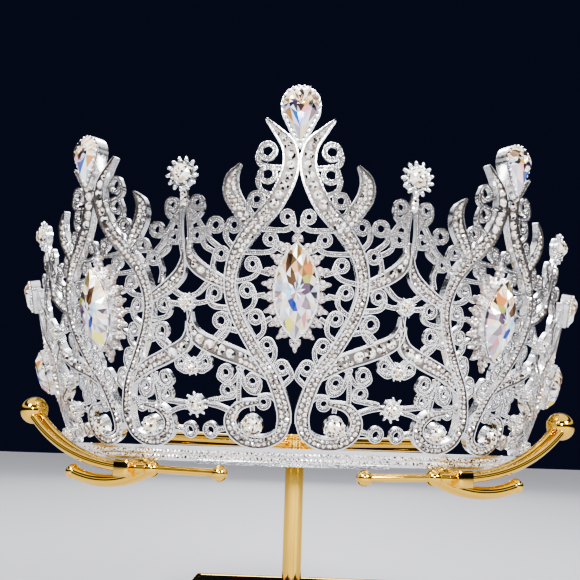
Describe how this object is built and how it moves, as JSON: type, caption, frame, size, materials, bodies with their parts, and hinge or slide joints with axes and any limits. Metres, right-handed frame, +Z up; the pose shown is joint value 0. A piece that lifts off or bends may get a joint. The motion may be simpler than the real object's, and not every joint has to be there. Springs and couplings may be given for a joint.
{
  "type": "pageant crown on display stand",
  "caption": "Tall open-backed pageant crown of pierced silver-coloured scrollwork set with cut crystals, held up on a gold-coloured stand with a square base.",
  "frame": {"origin": "centre of the underside of the stand's square base plate", "axes": "+Z up, -Y towards the front of the crown, +X to the right of someone who looks at its front"},
  "size_m": [0.1946, 0.1548, 0.1519],
  "materials": {
    "silver_plate": "polished silver-coloured plate on cast alloy",
    "crystal": "cut crystal with an iridescent coating",
    "gold_plate": "polished gold-coloured plate",
    "base_plate": "mirror-polished gold-coloured plate"
  },
  "bodies": {
    "root": {"crown_frame": "silver_plate", "marquise_stone_1": "crystal", "marquise_stone_2": "crystal", "marquise_stone_3": "crystal", "marquise_stone_4": "crystal", "marquise_stone_5": "crystal", "pear_stone_1": "crystal", "pear_stone_2": "crystal", "pear_stone_3": "crystal", "pear_stone_4": "crystal", "pear_stone_5": "crystal", "ring_stone_1": "crystal", "ring_stone_2": "crystal", "ring_stone_3": "crystal", "ring_stone_4": "crystal", "ring_stone_5": "crystal", "ring_stone_6": "crystal", "ring_stone_7": "crystal", "ring_stone_8": "crystal", "ring_stone_9": "crystal", "ring_stone_10": "crystal", "finial_stone_1": "crystal", "finial_stone_2": "crystal", "finial_stone_3": "crystal", "finial_stone_4": "crystal", "flower_stone_1": "crystal", "flower_stone_2": "crystal", "flower_stone_3": "crystal", "flower_stone_4": "crystal", "seam_stones": "crystal", "stand_base": "base_plate", "stand_post": "gold_plate", "stand_cradle": "gold_plate"}
  },
  "joints": []
}
